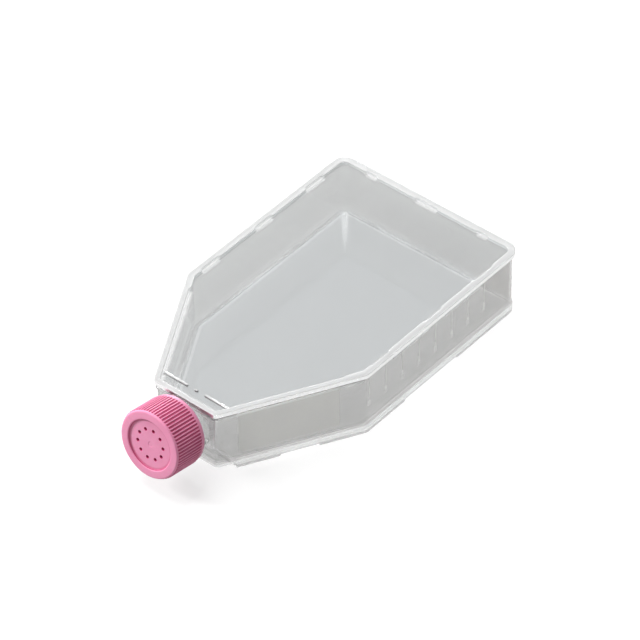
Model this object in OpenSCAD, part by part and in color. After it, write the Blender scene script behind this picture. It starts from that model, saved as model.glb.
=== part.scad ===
// Cell culture flask: a flat clear vessel with a canted neck and a vented screw cap.
// It lies on its feet, +Z up, the neck towards -Y. The origin is the middle of its footprint, on the bench.

/* [Flask outline] */
// Length of the flask over its rim, without neck and cap
flask_length = 191.3; // [150:0.1:240]
// Width of the flask over its rim
flask_width = 117.7; // [95:0.1:150]
// Height from the bench to the top of the rim
flask_height = 40; // [38:0.5:60]
// Length over which the shoulders widen
shoulder_length = 69.9; // [50:0.1:90]
// Width of the flat front that carries the neck
front_width = 39.6; // [36:0.1:48]
// Radius of the two back corners
back_radius = 7.5; // [6:0.5:12]
// Radius of the shoulder corners
shoulder_radius = 6; // [5.5:0.5:12]
// Radius of the two front corners
front_radius = 4; // [3:0.5:8]

/* [Walls and floor] */
// Thickness of the upright walls
wall = 1.6; // [1.2:0.1:2.2]
// Thickness of the floor
floor_thickness = 1.3; // [1:0.1:2]
// Radius between the floor and the walls, inside
floor_fillet = 1.5; // [0.5:0.1:2.5]
// Set-back of the walls from the rim
rim_overhang = 1.4; // [1:0.1:2.4]

/* [Base] */
// Height of the feet
foot_height = 1.5; // [0.8:0.1:2.5]
// Width of the feet
foot_width = 2.2; // [1.6:0.1:3]
// Height of the band round the base
band_height = 3.4; // [3:0.1:5]
// Depth of the hollow under the floor
base_hollow = 2.3; // [1.5:0.1:2.6]
// Set-back of the base band from the rim
band_inset = 0.8; // [0.4:0.1:1.2]
// Width of the band's lower edge
band_width = 2.6; // [2.2:0.1:3.4]
// Distance from the front edge to the front of the base band's lower part
base_front = 9.4; // [6:0.1:14]
// Start of the gap in the feet on each shoulder, from the front corner
shoulder_gap_from = 34; // [20:0.5:38]
// End of that gap
shoulder_gap_to = 54.5; // [42:0.5:60]
// Start of the gap in the feet on each side, from the back edge
side_gap_from = 50.5; // [40:0.5:64]
// End of that gap
side_gap_to = 91.5; // [76:0.5:100]
// Half the width of the middle foot at the back
back_foot_half = 11; // [5:0.5:16]
// Distance from the middle to the corner feet at the back
back_gap_to = 35; // [24:0.5:38]

/* [Top plate] */
// Thickness of the plate
plate_thickness = 1.5; // [1.2:0.1:2]
// Width of the rim
rim_width = 3.5; // [3:0.1:4.5]
// Rise of the rim above the plate
rim_rise = 2.2; // [1.2:0.1:3]
// Height of the rim's outer edge
rim_edge = 2.55; // [2.3:0.05:3.4]
// Height of the bar behind the front edge
front_bar_height = 1.1; // [0.5:0.1:1.5]
// Width of that bar
front_bar_width = 1.2; // [0.8:0.1:2]
// Distance from the front edge to that bar
front_bar_from = 8.8; // [5.6:0.1:11]
// Clearance between the plate's step and the walls
plate_clearance = 0.1; // [0.05:0.05:0.3]

/* [Stacking pads] */
// Width by which the stacking pads widen the rim
pad_width = 1.05; // [0.5:0.05:1.6]
// Ends of the rear lug and its pad, from the back edge
rear_lug = [34, 60.5]; // [30:0.5:66]
// Ends of the front lug and its pad, from the back edge
front_lug = [73.5, 101.5]; // [66:0.5:110]
// Drop of the lugs under the rim
lug_drop = 1.5; // [0.8:0.1:3]
// Ends of the pad at each shoulder, from the shoulder's corner
shoulder_pad = [-9.1, 6.4]; // [-20:0.1:12]
// Length of the pad at each back corner
corner_pad = 19.5; // [10:0.5:30]
// Ends of each pad on the back edge, from the middle
back_pad = [7, 33]; // [2:0.5:36]
// Distance from the middle to the corner pads on the back edge
back_pad_corner = 40; // [38:0.5:50]

/* [Marks] */
// Distance from the back edge to the first mark
first_mark = 28.3; // [22:0.1:40]
// Distance between marks
mark_spacing = 12.95; // [8:0.05:14]
// Least distance from the shoulder to the last mark
mark_margin = 2; // [1:0.5:6]
// Length of each mark
mark_length = 13.5; // [6:0.5:16]
// Width of each mark
mark_width = 0.6; // [0.4:0.1:1]
// Height of the marks and of the writing field above the wall
mark_rise = 0.2; // [0.1:0.05:0.3]
// Start of the writing field, from the front corner along the shoulder
field_from = 12.5; // [8:0.5:20]
// Length of the writing field
field_length = 53; // [30:0.5:56]
// Height of the writing field
field_height = 25.6; // [15:0.1:25.8]
// Radius of the writing field's lower corners
field_radius = 2.7; // [1:0.1:5]

/* [Neck] */
// Angle of the neck above the bench
neck_cant = 10.2; // [6:0.1:14]
// Drop of the neck's top under the rim, at the front wall
neck_drop = 0; // [0:0.1:2]
// Length of the neck along its axis
neck_length = 25; // [24:0.1:34]
// Inner diameter of the neck
neck_bore = 26; // [20:0.5:27]
// Wall of the neck
neck_wall = 1.7; // [1.4:0.1:2]
// Distance from the neck's mouth to its thread
thread_start = 2.5; // [1.5:0.1:4]
// Length of one turn of the thread
thread_pitch = 5; // [4:0.1:6]
// Turns of thread on the neck and in the cap
thread_turns = 1.6; // [1:0.1:1.8]
// Height of the thread
thread_height = 1.2; // [0.8:0.1:1.4]
// Width of the thread at its root
thread_width = 2.1; // [1.4:0.1:2.4]

/* [Cap] */
// Outer length of the cap
cap_length = 20.4; // [18:0.1:21]
// Thickness of the cap's wall under its ribs
cap_wall = 2.1; // [1.4:0.1:2.6]
// Height of the grip ribs
rib_height = 0.5; // [0.3:0.05:0.8]
// Number of grip ribs
rib_count = 68; // [24:1:80]
// Smooth band behind the ribs
rear_band = 2; // [1:0.1:4]
// Radius of the cap's front edge
cap_edge = 0.8; // [0.4:0.1:1.2]
// Distance from that radius back to the ribs
rib_front = 0.1; // [0.05:0.05:1]
// Thickness of the cap's deck
deck_thickness = 1.6; // [1.2:0.1:2.2]
// Depth of the recess in the face
recess_depth = 1.1; // [0.6:0.1:1.6]
// Diameter of the recess
recess_diameter = 27.4; // [20:0.1:29]
// Number of vent holes
vent_count = 10; // [4:1:16]
// Diameter of each vent hole
vent_diameter = 1.3; // [0.8:0.1:1.8]
// Diameter of the circle that the vent holes lie on
vent_circle = 16.4; // [10:0.1:18]
// Length of the sealing lip that enters the neck
lip_length = 2.2; // [1.2:0.1:3]
// Wall of the sealing lip
lip_wall = 0.9; // [0.6:0.1:1.2]
// Gap between the lip and the neck
lip_clearance = 0.15; // [0.1:0.05:0.3]
// Gap between the cap's deck and the neck's mouth
seat_gap = 0.2; // [0.1:0.05:0.4]
// Gap between a thread's crest and the wall that it faces
thread_clearance = 0.3; // [0.2:0.05:0.5]
// Thickness of the vent membrane
membrane_thickness = 0.3; // [0.2:0.05:0.5]

/* [Hidden] */
$fn = 96;

// Steps in each rounded corner, and in a fillet's section
corner_steps = 8;
fillet_steps = 4;
// Stations in one turn of a thread
thread_steps = 40;
// Overlap that joins shapes of one moulding, and reach of cutting shapes past what they cut
bond = 0.02;
past = 1;
// Smallest radius of a rounded corner
least_radius = 0.3;
// Lap of the base band into the walls
band_lap = 0.2;
// Turn of the vent holes about the cap's axis
vent_turn = 10.7;
// Diameter and depth of the gate mark in the middle of the recess
gate_diameter = 3;
gate_depth = 0.15;
// Height of the collar under the rim at the shoulders and of the groove above it, and its set-back
collar_height = 1;
collar_groove = 1.6;
collar_inset = 0.5;
// Widths of a grip rib's root and crest, as shares of the ribs' spacing, and depth of its root in the wall
rib_root = 0.52;
rib_crest = 0.24;
rib_sink = 0.2;
// Depth of a thread's root in its wall, turn over which its ends fade, and widths as shares of the root's
thread_sink = 0.3;
thread_fade = 0.125;
thread_crest = 0.5;
thread_tip = 0.4;
// Bevel round the recess in the cap's face, as a share of its depth
recess_bevel = 1 / 3;
// Stretches of the rim's sides that carry a lug and those that carry a pad, from the front edge
lug_spans = [for (l = [front_lug, rear_lug]) [flask_length - l[1], flask_length - l[0]]];
pad_spans = concat(lug_spans, [
    [shoulder_length + shoulder_pad[0], shoulder_length + shoulder_pad[1]],
    [flask_length - corner_pad, flask_length]
]);
// Stretches of the rim's back that carry a pad, from the middle
back_spans = [back_pad, [back_pad_corner, flask_width / 2]];
// The last mark, counted from 0 at the back, that still lies on the straight side
last_mark = floor((flask_length - first_mark - shoulder_length - mark_margin) / mark_spacing);
// Reach of the pads' ends across a rounded corner
pad_reach = 3;
// Stretches of the front bar, from the middle
bar_spans = [[-past, past], [5.5, front_width / 2 + past]];

// Heights above the bench
base_z = foot_height;
floor_under_z = base_z + base_hollow;
floor_z = floor_under_z + floor_thickness;
rim_z = flask_height - rim_edge;
plate_top_z = flask_height - rim_rise;
plate_under_z = plate_top_z - plate_thickness;
collar_z = rim_z - collar_groove - collar_height;
lug_z = rim_z - lug_drop;
inner_inset = rim_overhang + wall;

// Neck and cap sizes; positions along the neck's axis start at the front wall
bore_r = neck_bore / 2;
neck_r = bore_r + neck_wall;
neck_height = rim_z - neck_drop - neck_r / cos(neck_cant);
crest_r = neck_r + thread_height;
cap_bore_r = crest_r + thread_clearance;
cap_crest_r = neck_r + thread_clearance;
cap_r = cap_bore_r + cap_wall;
deck_under = neck_length + seat_gap;
recess_at = deck_under + deck_thickness;
cap_top = recess_at + recess_depth;
cap_rear = cap_top - cap_length;
lip_r = bore_r - lip_clearance;
lip_bore_r = lip_r - lip_wall;
thread_from = neck_length - thread_start - thread_turns * thread_pitch;

// Reach of the cap in front of the flask's front edge, and the origin's distance from that edge
front_reach = cap_top * cos(neck_cant) - rim_overhang
    + (cap_r - cap_edge) * sin(neck_cant) + cap_edge * (1 - cos(neck_cant));
middle = (flask_length - front_reach) / 2;

// Corners of the rim's outline, anticlockwise from the front left, and the radius of each
corners = [
    [-front_width / 2, 0], [front_width / 2, 0], [flask_width / 2, shoulder_length],
    [flask_width / 2, flask_length], [-flask_width / 2, flask_length], [-flask_width / 2, shoulder_length]
];
radii = [front_radius, front_radius, shoulder_radius, back_radius, back_radius, shoulder_radius];
shoulder_angle = atan2(shoulder_length, (flask_width - front_width) / 2);

function unit(v) = v / norm(v);
// Inward normal of the edge from a to b of an anticlockwise outline
function inward(a, b) = let (d = unit(b - a)) [-d[1], d[0]];
// Way from corner p to the point that lies one unit in from both of its edges
function miter(a, p, b) = let (n1 = inward(a, p), n2 = inward(p, b)) (n1 + n2) / (1 + n1 * n2);
// Corner i of the outline moved in by inset on both of its edges
function inset_corner(i, inset) =
    let (n = len(corners), a = corners[(i + n - 1) % n], p = corners[i], b = corners[(i + 1) % n])
    p + inset * miter(a, p, b);
// Arc that rounds corner p, between neighbours a and b, with radius r
function corner_arc(a, p, b, r) =
    let (n1 = inward(a, p), n2 = inward(p, b), c = p + r * miter(a, p, b),
         from = atan2(-n1[1], -n1[0]), turn = acos(n1 * n2))
    [for (k = [0:corner_steps]) let (t = from + turn * k / corner_steps) c + r * [cos(t), sin(t)]];
// The rounded outline, moved in by inset
function outline(inset) =
    let (n = len(corners), c = [for (i = [0:n - 1]) inset_corner(i, inset)])
    [for (i = [0:n - 1])
        each corner_arc(c[(i + n - 1) % n], c[i], c[(i + 1) % n], max(least_radius, radii[i] - inset))];

// Places shapes drawn from the flask's front edge so that the footprint's middle is the origin
module placed() translate([0, -middle, 0]) children();

// Puts shapes drawn along +Z on the neck's axis, which starts on the front wall
module on_neck() translate([0, rim_overhang, neck_height]) rotate([90 - neck_cant, 0, 0]) children();

// Box between two corners
module block(low, high) translate(low) cube(high - low);

// Box between two x, two y and two z values, at both sides of the middle plane
module both_sides(x, y, z) {
    for (side = [0, 1]) mirror([side, 0, 0])
        block([x[0], y[0], z[0]], [x[1], y[1], z[1]]);
}

// Everything between two y values, from below the bench to above the flask
module across(y) block([-flask_width, y[0], -past], [flask_width, y[1], flask_height + past]);

// Upright slab of the outline between two heights
module slab(inset, from, to) translate([0, 0, from]) linear_extrude(to - from) polygon(outline(inset));

// Upright ring between two insets and two heights
module ring(outer, inner, from, to) {
    translate([0, 0, from]) linear_extrude(to - from) difference() {
        polygon(outline(outer));
        polygon(outline(inner));
    }
}

// Smooth hollow through outlines at the given [inset, height] levels
module loft(levels) {
    rings = [for (l = levels) [for (p = outline(l[0])) [p[0], p[1], l[1]]]];
    m = len(rings[0]);
    top = len(rings) - 1;
    polyhedron(
        points = [for (r = rings) each r],
        faces = [
            [for (i = [0:m - 1]) i],
            [for (i = [0:m - 1]) top * m + m - 1 - i],
            for (k = [0:top - 1], i = [0:m - 1])
                [k * m + i, (k + 1) * m + i, (k + 1) * m + (i + 1) % m, k * m + (i + 1) % m]
        ]);
}

// Puts shapes on the shoulders, 0 the right and 1 the left: X along it from the front corner, -Y outwards
module on_shoulder(sides) {
    for (side = sides) mirror([side, 0, 0])
        translate([front_width / 2, 0, 0]) rotate([0, 0, shoulder_angle]) children();
}

// One screw ridge along +Z that starts at height from, with its root and its crest at the given radii
module thread_ridge(from, root, crest) {
    n = ceil(thread_turns * thread_steps);
    outward = crest > root;
    base = root + (outward ? -thread_sink : thread_sink);
    fade = thread_fade * thread_steps;
    function rise(i) = max(bond, min(1, i / fade, (n - i) / fade));
    // Half-width of the ridge's root at station i, and its four corners as [radius, height]
    function half(i) = thread_width / 2 * (thread_tip + (1 - thread_tip) * rise(i));
    function section(r, q) = [[base, -q], [r, -q * thread_crest], [r, q * thread_crest], [base, q]];
    function corner(c, a, z) = [c[0] * cos(a), c[0] * sin(a), z + c[1]];
    stations = [for (i = [0:n], c = section(root + (crest - root) * rise(i), half(i)))
        corner(c, 360 * i / thread_steps, from + thread_pitch * i / thread_steps)];
    sides = [for (i = [0:n - 1], k = [0:3]) let (l = (k + 1) % 4)
        [4 * i + k, 4 * i + 4 + k, 4 * i + 4 + l, 4 * i + l]];
    ends = [[0, 1, 2, 3], [4 * n + 3, 4 * n + 2, 4 * n + 1, 4 * n]];
    loops = concat(sides, ends);
    polyhedron(points = stations, faces = outward ? [for (f = loops) [f[3], f[2], f[1], f[0]]] : loops);
}

// The feet: a ring under the base band, cut away between them
module feet() {
    inner = band_inset + foot_width;
    side_gap = [flask_length - side_gap_to, flask_length - side_gap_from];
    over = base_z + past;
    difference() {
        ring(band_inset, inner, 0, base_z + bond);
        across([-past, base_front]);
        on_shoulder([0, 1]) block([shoulder_gap_from, -past, -past], [shoulder_gap_to, inner + past, over]);
        both_sides([flask_width / 2 - inner - past, flask_width], side_gap, [-past, over]);
        both_sides([back_foot_half, back_gap_to], [flask_length - inner - past, flask_length], [-past, over]);
    }
}

// Base band and its hollow underside; its lower part starts behind the front edge
module base() {
    ring(band_inset, inner_inset + band_lap, floor_under_z - bond, base_z + band_height);
    difference() {
        slab(band_inset, base_z, floor_under_z);
        difference() {
            slab(band_inset + band_width, base_z - past, floor_under_z + past);
            across([-past, base_front + band_width]);
        }
        across([-past, base_front]);
    }
}

// Collar below the rim at the front and the shoulders, and the lugs below it at the sides
module collar_and_lugs() {
    difference() {
        ring(collar_inset, inner_inset - bond, collar_z, collar_z + collar_height);
        across([shoulder_length - past, flask_length + past]);
    }
    intersection() {
        ring(0, inner_inset - bond, lug_z, rim_z);
        union() for (s = lug_spans) both_sides([flask_width / 2 - inner_inset, flask_width], s, [0, rim_z]);
    }
}

// Raised volume marks on the right wall, below the lugs' height
module marks() {
    x = flask_width / 2 - rim_overhang;
    half = mark_width / 2;
    for (i = [0:last_mark]) let (y = flask_length - first_mark - i * mark_spacing)
        block([x - bond, y - half, lug_z - mark_length], [x + mark_rise, y + half, lug_z]);
}

// Raised writing field on the right shoulder, its top under the collar and its lower corners round
module writing_field() {
    on_shoulder([0]) translate([field_from, rim_overhang + bond, collar_z - field_height]) rotate([90, 0, 0])
        linear_extrude(mark_rise + bond) union() {
            translate([0, field_radius]) square([field_length, field_height - field_radius + bond]);
            translate([field_radius, 0]) square([field_length - 2 * field_radius, field_radius + bond]);
            for (x = [field_radius, field_length - field_radius]) translate([x, field_radius])
                circle(r = field_radius);
        }
}

// Space inside the flask, with a round fillet above the floor
module chamber() {
    r = floor_fillet;
    fillet = [for (k = [0:fillet_steps]) let (t = 90 * k / fillet_steps)
        [inner_inset + r * (1 - sin(t)), floor_z + r * (1 - cos(t))]];
    loft(concat(fillet, [[inner_inset, flask_height]]));
}

// Tube of the neck, cut away above the rim's underside and inside the flask
module neck_tube() {
    difference() {
        on_neck() translate([0, 0, -wall]) cylinder(h = neck_length + wall, r = neck_r);
        slab(0, rim_z, flask_height + past);
        chamber();
    }
}

// Clear moulding: floor, walls, neck, base band, feet, collar, lugs and marks
module flask_body() color([0.86, 0.9, 0.92, 0.45]) placed() {
    bore_from = -wall - neck_r * tan(neck_cant);
    difference() {
        union() {
            difference() {
                slab(rim_overhang, floor_under_z, rim_z);
                chamber();
            }
            base();
            feet();
            collar_and_lugs();
            marks();
            writing_field();
            neck_tube();
            on_neck() thread_ridge(thread_from, neck_r, crest_r);
        }
        on_neck() translate([0, 0, bore_from]) cylinder(h = neck_length + past - bore_from, r = bore_r);
    }
}

// Stacking pads that widen the rim inwards
module pads() {
    pad_inset = rim_width + pad_width;
    high = [plate_top_z - past, flask_height];
    wide = [flask_width / 2 - pad_inset - pad_reach, flask_width / 2];
    intersection() {
        ring(rim_width - bond, pad_inset, plate_top_z - bond, flask_height);
        union() {
            for (s = pad_spans) both_sides(wide, s, high);
            for (s = back_spans) both_sides(s, [flask_length - pad_inset - past, flask_length], high);
        }
    }
}

// Clear plate: panel with a locating step, raised rim with stacking pads, bar behind the front edge
module top_plate() color([0.9, 0.94, 0.96, 0.45]) placed() {
    bar = [front_bar_from, front_bar_from + front_bar_width];
    slab(0, rim_z, plate_top_z);
    slab(inner_inset + plate_clearance, plate_under_z, rim_z + bond);
    ring(0, rim_width, plate_top_z - bond, flask_height);
    pads();
    intersection() {
        slab(rim_width - bond, plate_top_z - bond, plate_top_z + front_bar_height);
        union() for (s = bar_spans) both_sides(s, bar, [plate_top_z - past, flask_height]);
    }
}

// Section of the cap: deck with its sealing lip, skirt, rounded front edge and bevelled recess
module cap_section() {
    r = recess_diameter / 2;
    bevel = recess_depth * recess_bevel;
    inside = [
        [0, deck_under], [lip_bore_r, deck_under],
        [lip_bore_r, deck_under - lip_length], [lip_r, deck_under - lip_length],
        [lip_r, deck_under], [cap_bore_r, deck_under], [cap_bore_r, cap_rear]
    ];
    edge = [for (k = [0:fillet_steps]) let (t = 90 * k / fillet_steps)
        [cap_r - cap_edge * (1 - cos(t)), cap_top - cap_edge * (1 - sin(t))]];
    face = [[r + bevel, cap_top], [r, cap_top - bevel], [r - bevel, recess_at], [0, recess_at]];
    polygon(concat(inside, [[cap_r, cap_rear]], edge, face));
}

// Grip ribs, from the smooth rear band to the front edge
module ribs() {
    from = cap_rear + rear_band;
    to = cap_top - cap_edge - rib_front;
    spacing = 2 * PI * cap_r / rib_count;
    root = rib_root * spacing / 2;
    crest = rib_crest * spacing / 2;
    for (i = [0:rib_count - 1]) rotate([0, 0, i * 360 / rib_count]) translate([0, 0, from])
        linear_extrude(to - from) polygon([
            [cap_r - rib_sink, -root], [cap_r + rib_height, -crest],
            [cap_r + rib_height, crest], [cap_r - rib_sink, root]
        ]);
}

// Vent holes through the deck
module vents() {
    for (i = [0:vent_count - 1]) rotate([0, 0, vent_turn + i * 360 / vent_count])
        translate([vent_circle / 2, 0, deck_under - past])
            cylinder(h = deck_thickness + 2 * past, d = vent_diameter);
}

// Pink screw cap: ribbed skirt, recessed vented face, sealing lip and inner thread
module cap_shell() color([0.85, 0.42, 0.58]) placed() on_neck() {
    difference() {
        union() {
            rotate_extrude() cap_section();
            ribs();
            thread_ridge(thread_from + thread_pitch / 2, cap_bore_r, cap_crest_r);
        }
        vents();
        translate([0, 0, recess_at - gate_depth]) cylinder(h = gate_depth + past, d = gate_diameter);
    }
}

// Filter disc bonded inside the lip, behind the vent holes
module vent_membrane() color("white") placed() on_neck()
    translate([0, 0, deck_under - membrane_thickness])
        cylinder(h = membrane_thickness, r = lip_bore_r - lip_clearance);

flask_body();
top_plate();
cap_shell();
vent_membrane();
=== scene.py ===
"""A vented cell culture flask of clear polystyrene, lying on a white bench.

The flask is four mouldings: a deep tray with a canted neck, a plate welded on top of it, a pink ribbed
screw cap, and the filter disc behind the cap's vent holes. Lengths in the classes are millimetres, drawn
from the flask's front edge as the mould drawing has them; every mesh is in metres in the frame's place.
"""

import logging
import math
from dataclasses import dataclass
from enum import Enum
from typing import Any, Sequence, Union

import bpy
import numpy as np
from mathutils import Matrix, Vector

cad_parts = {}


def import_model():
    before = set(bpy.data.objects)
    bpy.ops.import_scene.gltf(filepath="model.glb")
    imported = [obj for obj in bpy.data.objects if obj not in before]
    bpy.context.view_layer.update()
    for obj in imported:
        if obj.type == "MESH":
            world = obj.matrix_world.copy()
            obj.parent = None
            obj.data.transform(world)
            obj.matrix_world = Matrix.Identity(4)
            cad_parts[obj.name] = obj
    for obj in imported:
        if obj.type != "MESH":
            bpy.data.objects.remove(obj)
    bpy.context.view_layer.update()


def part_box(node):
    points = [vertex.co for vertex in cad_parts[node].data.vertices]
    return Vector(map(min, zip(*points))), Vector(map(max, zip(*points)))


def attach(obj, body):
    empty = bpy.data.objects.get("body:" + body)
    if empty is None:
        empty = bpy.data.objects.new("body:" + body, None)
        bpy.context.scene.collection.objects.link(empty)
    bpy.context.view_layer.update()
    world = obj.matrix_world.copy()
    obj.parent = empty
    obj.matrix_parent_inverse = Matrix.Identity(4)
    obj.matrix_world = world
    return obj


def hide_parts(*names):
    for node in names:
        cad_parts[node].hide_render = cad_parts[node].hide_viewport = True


log = logging.getLogger("culture_flask")

MM = 0.001
HAIRLINE = 0.02  # the least gap or rounding
BACK_EDGE = 0.2  # how near the back edge counts as on it
HIGH_ABOVE = 60.0  # over the whole flask
CANT = math.radians(10.2)  # how steeply the neck points up
SHARP_ANGLE = math.radians(38.0)
NECK_STEPS = 144
POLYSTYRENE_IOR = 1.59

Array = np.ndarray
Pair = tuple[float, float]
Triple = tuple[float, float, float]
Spans = Sequence[Pair]
Piece = bpy.types.Object
Material = bpy.types.Material
Socket = bpy.types.NodeSocket


class Finish(Enum):
    """The record's slots, and the words its materials go by."""

    BODY = "clear_body"
    PLATE = "clear_plate"
    CAP = "cap_pink"
    FILTER = "membrane_white"


class Merge(Enum):
    """What a solid does to the one it meets."""

    ADD = "UNION"
    CUT = "DIFFERENCE"


# ---------------------------------------------------------------------------------------- meshes


def smooth_step(x: Array) -> Array:
    """3x^2 - 2x^3 of x held between 0 and 1."""
    t = np.clip(x, 0.0, 1.0)
    return t * t * (3.0 - 2.0 * t)


def past(x: Array, start: float, ramp: float) -> Array:
    """0 up to start and 1 from start + ramp on, smooth in between."""
    return smooth_step((x - start) / ramp)


def below(x: Array, end: float, ramp: float) -> Array:
    """1 up to end - ramp and 0 from end on, smooth in between."""
    return smooth_step((end - x) / ramp)


def within(x: Array, ends: Pair, rise: float, fall: float) -> Array:
    """1 between the ends, 0 outside, smooth over rise after the first and over fall before the last."""
    return past(x, ends[0], rise) * below(x, ends[1], fall)


def span(x: Array, low: float, high: float, ramp: float) -> Array:
    """1 between low and high and 0 outside, with ramps of the given length centred on both ends."""
    return np.clip((x - low) / ramp + 0.5, 0.0, 1.0) * np.clip((high - x) / ramp + 0.5, 0.0, 1.0)


def round_steps(count: int) -> Array:
    """Angles all the way round, the last one step short of the first."""
    return np.linspace(0, 2 * math.pi, count, endpoint=False)


def rounded(corners: Array, radii: Sequence[float], steps: int) -> Array:
    """Rounds the inner corners of many polylines at once.

    Each corner P between A and B is replaced by the quadratic curve with control point P that starts and
    ends at the tangent points of an arc of the given radius, at most 0.45 of the shorter side away.

    Args:
        corners: Points, as polylines x corners x 2.
        radii: Radius of each corner; the first and the last are kept sharp.
        steps: Points in each rounded corner.

    Returns:
        Points, as polylines x points x 2.
    """
    before, at, after = corners[:, :-2], corners[:, 1:-1], corners[:, 2:]
    back, on = before - at, after - at
    back_length = np.linalg.norm(back, axis=2, keepdims=True)
    on_length = np.linalg.norm(on, axis=2, keepdims=True)
    back, on = back / back_length, on / on_length
    cos_turn = np.clip(-np.sum(back * on, axis=2, keepdims=True), -1.0, 1.0)
    reach = np.asarray(radii[1:-1])[None, :, None] * np.sqrt((1 - cos_turn) / np.maximum(1 + cos_turn, 1e-6))
    reach = np.clip(reach, HAIRLINE, 0.45 * np.minimum(back_length, on_length))
    start, end = at + back * reach, at + on * reach
    t = np.linspace(0.0, 1.0, steps)[None, None, :, None]
    curve = (1 - t) ** 2 * start[:, :, None] + 2 * t * (1 - t) * at[:, :, None] + t**2 * end[:, :, None]
    inner = curve.reshape(len(corners), -1, 2)
    return np.concatenate([corners[:, :1], inner, corners[:, -1:]], axis=1)


def profile(stops: Sequence[Sequence[Any]], count: int = 1, steps: int = 4) -> Array:
    """A section with rounded corners, at each station.

    Args:
        stops: Its corners as inset, height and radius, each a number or one value a station. A corner without
            a radius is kept sharp.
        count: Number of stations.
        steps: Points in each rounded corner.

    Returns:
        Points, as stations x points x 2.
    """
    corners = np.stack(
        [np.stack([np.broadcast_to(v, count) for v in stop[:2]], axis=1) for stop in stops], axis=1)
    return rounded(corners, [stop[2] if len(stop) > 2 else 0.0 for stop in stops], steps)


def grid_faces(rows: int, columns: int) -> Array:
    """Quads between neighbouring points of a grid whose last row joins its first.

    Args:
        rows: Number of rows.
        columns: Points in a row.

    Returns:
        Indices of the corners, as faces x 4.
    """
    i, j = (a.ravel() for a in np.meshgrid(np.arange(rows), np.arange(columns - 1), indexing="ij"))
    here, there = i * columns + j, (i + 1) % rows * columns + j
    return np.stack([here, there, there + 1, here + 1], axis=1)


def fan_volume(points: Array, faces: Array) -> float:
    """Six times the signed volume between the origin and faces of one size, each cut into a fan."""
    corner = points[faces]
    return float(np.einsum("ij,ikj->", corner[:, 0], np.cross(corner[:, 1:-1], corner[:, 2:])))


def placed(name: str, data: bpy.types.ID) -> Piece:
    """Puts data into the scene as an object.

    Args:
        name: Name of the object.
        data: Its mesh, curve, lamp or camera.

    Returns:
        The object.
    """
    made = bpy.data.objects.new(name, data)
    bpy.context.scene.collection.objects.link(made)
    return made


def mesh_piece(name: str, points: Array, faces: Sequence[Sequence[int]]) -> Piece:
    """Makes a mesh object.

    Args:
        name: Name of the object.
        points: Points in metres.
        faces: Indices of each face's corners.

    Returns:
        The object, in the scene.
    """
    mesh = bpy.data.meshes.new(name)
    mesh.from_pydata(points.tolist(), [], faces)
    mesh.update()
    return placed(name, mesh)


def solid(name: str, grid: Array) -> Piece:
    """Makes a closed solid of a grid of points in millimetres.

    Rows run round the shape, and the last joins the first. Columns run along its section, and a flat face
    over the first and over the last column closes it. Faces are turned outwards.

    Args:
        name: Name of the object.
        grid: Points, as rows x columns x 3.

    Returns:
        The object, in the scene.
    """
    rows, columns = grid.shape[:2]
    points = grid.reshape(-1, 3)
    first = np.arange(rows)[None] * columns
    groups = [grid_faces(rows, columns), first[:, ::-1], first + columns - 1]
    way = -1 if sum(fan_volume(points, group) for group in groups) < 0 else 1
    return mesh_piece(name, points * MM, [face for group in groups for face in group[:, ::way].tolist()])


def combine(piece: Piece, other: Piece, how: Merge) -> Piece:
    """Adds the other solid to the piece or cuts it out, and removes the other solid.

    Args:
        piece: The solid that is kept.
        other: The solid that meets it.
        how: Whether it is added or cut out.

    Returns:
        The piece, with its new mesh.
    """
    step = piece.modifiers.new(how.name, "BOOLEAN")
    step.operation, step.solver, step.object = how.value, "MANIFOLD", other
    graph = bpy.context.evaluated_depsgraph_get()
    mesh = bpy.data.meshes.new_from_object(piece.evaluated_get(graph))
    piece.modifiers.clear()
    old, piece.data = piece.data, mesh
    mesh.name = piece.name
    used = other.data
    bpy.data.objects.remove(other)
    for mesh in (old, used):
        bpy.data.meshes.remove(mesh)
    return piece


def points_of(piece: Piece) -> Array:
    """A piece's points in millimetres.

    Args:
        piece: A mesh object.

    Returns:
        Points x 3.
    """
    points = np.empty(len(piece.data.vertices) * 3)
    piece.data.vertices.foreach_get("co", points)
    return points.reshape(-1, 3) / MM


def join(name: str, made: Sequence[Piece]) -> Piece:
    """Joins meshes into one piece.

    Args:
        name: Name of the piece.
        made: Objects whose places are in their meshes.

    Returns:
        The piece.
    """
    points, faces, base = [], [], 0
    for piece in made:
        points.append(points_of(piece))
        faces += [[base + v for v in p.vertices] for p in piece.data.polygons]
        base += len(piece.data.vertices)
        bpy.data.objects.remove(piece)
    return mesh_piece(name, np.concatenate(points) * MM, faces)


def polish(piece: Piece) -> Piece:
    """Shades a piece smooth, up to the angle that counts as sharp, and keeps its flat faces flat.

    Args:
        piece: The piece.

    Returns:
        The same piece.
    """
    piece.data.shade_smooth()
    piece.data.set_sharp_from_angle(angle=SHARP_ANGLE)
    piece.modifiers.new("flat faces", "WEIGHTED_NORMAL").keep_sharp = True
    return piece


def paint(piece: Piece, **shares: Array) -> None:
    """Keeps numbers for each point of a piece, as attributes that its finish reads.

    Args:
        piece: The piece.
        shares: One number a point, by the attribute's name.
    """
    for name, share in shares.items():
        layer = piece.data.attributes.new(name, "FLOAT", "POINT")
        layer.data.foreach_set("value", share.astype(np.float32))


def strongest(zones: dict[str, Array], **shares: float) -> Array:
    """The greatest of the named zones at each point, each zone times its share."""
    return np.maximum.reduce([zones[name] * share for name, share in shares.items()])


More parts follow.
